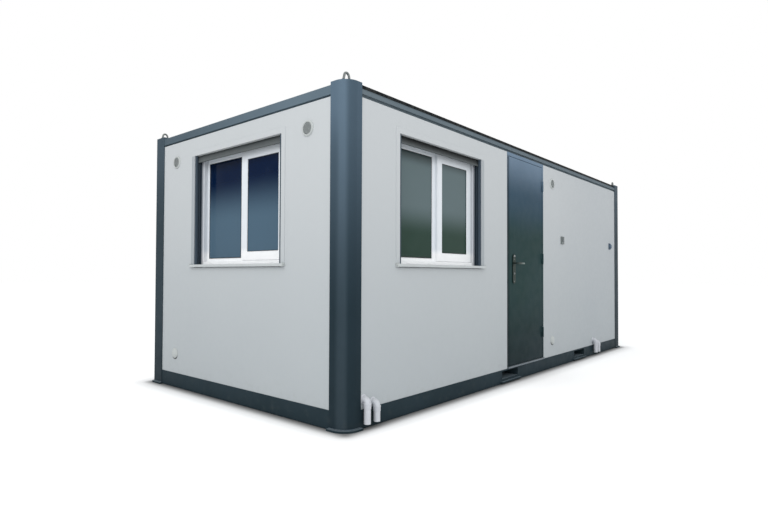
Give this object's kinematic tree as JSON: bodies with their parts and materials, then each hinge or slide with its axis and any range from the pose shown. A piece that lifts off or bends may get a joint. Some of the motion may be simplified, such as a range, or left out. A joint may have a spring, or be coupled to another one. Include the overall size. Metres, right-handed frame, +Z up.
{
  "type": "portable site cabin",
  "caption": "Steel-framed portable cabin with flat panel walls, shuttered windows, an outward-opening door with a lever handle, fork pockets and lifting eyes.",
  "frame": {"origin": "on the ground, at the middle of the plan rectangle that the whole cabin covers", "axes": "+X along the front wall from left to right, +Y from the front wall to the rear wall, +Z up"},
  "size_m": [6.095, 2.7809, 2.5374],
  "materials": {
    "frame_paint": "satin blue-grey coat, dusty and chipped at the base",
    "wall_paint": "light grey coil coat, low sheen, faint dirt runs",
    "leaf_paint": "dark blue-grey door paint, glossy",
    "roof_zinc": "galvanised ribbed sheet, dull",
    "floor_ply": "sealed board",
    "ceiling_white": "white faced board",
    "window_pvc": "white moulded plastic, soft sheen",
    "pane_glass": "dark insulating glass",
    "trim_white": "pale flange",
    "sill_metal": "folded sheet, pale",
    "guide_dark": "dark grey channels",
    "slat_grey": "grey roller slats",
    "threshold_steel": "worn bright strip",
    "lock_dark": "dark anodised plates",
    "lever_bar": "round bar, polished by hands",
    "hinge_steel": "dark hinge halves",
    "eye_zinc": "galvanised bar",
    "vent_grey": "grey moulded grilles",
    "drain_grey": "light grey pipe",
    "box_grey": "grey moulded boxes"
  },
  "bodies": {
    "cabin": {"corner_post_front_left": "frame_paint", "corner_post_front_right": "frame_paint", "corner_post_rear_right": "frame_paint", "corner_post_rear_left": "frame_paint", "base_plates": "frame_paint", "lifting_eyes": "eye_zinc", "base_rail_front": "frame_paint", "base_rail_rear": "frame_paint", "base_rail_left": "frame_paint", "base_rail_right": "frame_paint", "fork_pocket_left": "frame_paint", "fork_pocket_right": "frame_paint", "floor_joists": "frame_paint", "floor_board": "floor_ply", "ceiling_panel": "ceiling_white", "roof_rail_front": "frame_paint", "roof_rail_rear": "frame_paint", "roof_rail_left": "frame_paint", "roof_rail_right": "frame_paint", "roof_sheet": "roof_zinc", "front_wall_left": "wall_paint", "front_wall_right": "wall_paint", "rear_wall": "wall_paint", "left_wall": "wall_paint", "right_wall": "wall_paint", "front_window_trim": "trim_white", "front_window_sill": "sill_metal", "front_window_shutter_guides": "guide_dark", "front_window_shutter_curtain": "slat_grey", "front_window_frame": "window_pvc", "front_window_sash": "window_pvc", "front_window_panes": "pane_glass", "end_window_trim": "trim_white", "end_window_sill": "sill_metal", "end_window_shutter_guides": "guide_dark", "end_window_shutter_curtain": "slat_grey", "end_window_frame": "window_pvc", "end_window_sash": "window_pvc", "end_window_panes": "pane_glass", "door_frame": "frame_paint", "door_threshold": "threshold_steel", "hinge_frame_halves": "hinge_steel", "upper_vents": "vent_grey", "lower_vents": "vent_grey", "drain_outlets": "drain_grey", "light_box": "box_grey", "power_inlet": "box_grey"},
    "door": {"door_leaf": "leaf_paint", "door_lock_plates": "lock_dark", "hinge_leaf_halves": "hinge_steel"},
    "door_lever": {"door_lever": "lever_bar"}
  },
  "joints": [
    {"name": "door_hinge", "type": "hinge", "parent": "cabin", "child": "door", "pos_m": [0.217, -1.3349, 0.45], "axis": [0, 0, 1], "range_deg": [0, 110]},
    {"name": "lever_turn", "type": "hinge", "parent": "door", "child": "door_lever", "pos_m": [-0.495, -1.3255, 1.22], "axis": [0, 1, 0], "range_deg": [0, 35], "stiffness_Nm_per_rad": 3, "springref_deg": -20.05}
  ]
}
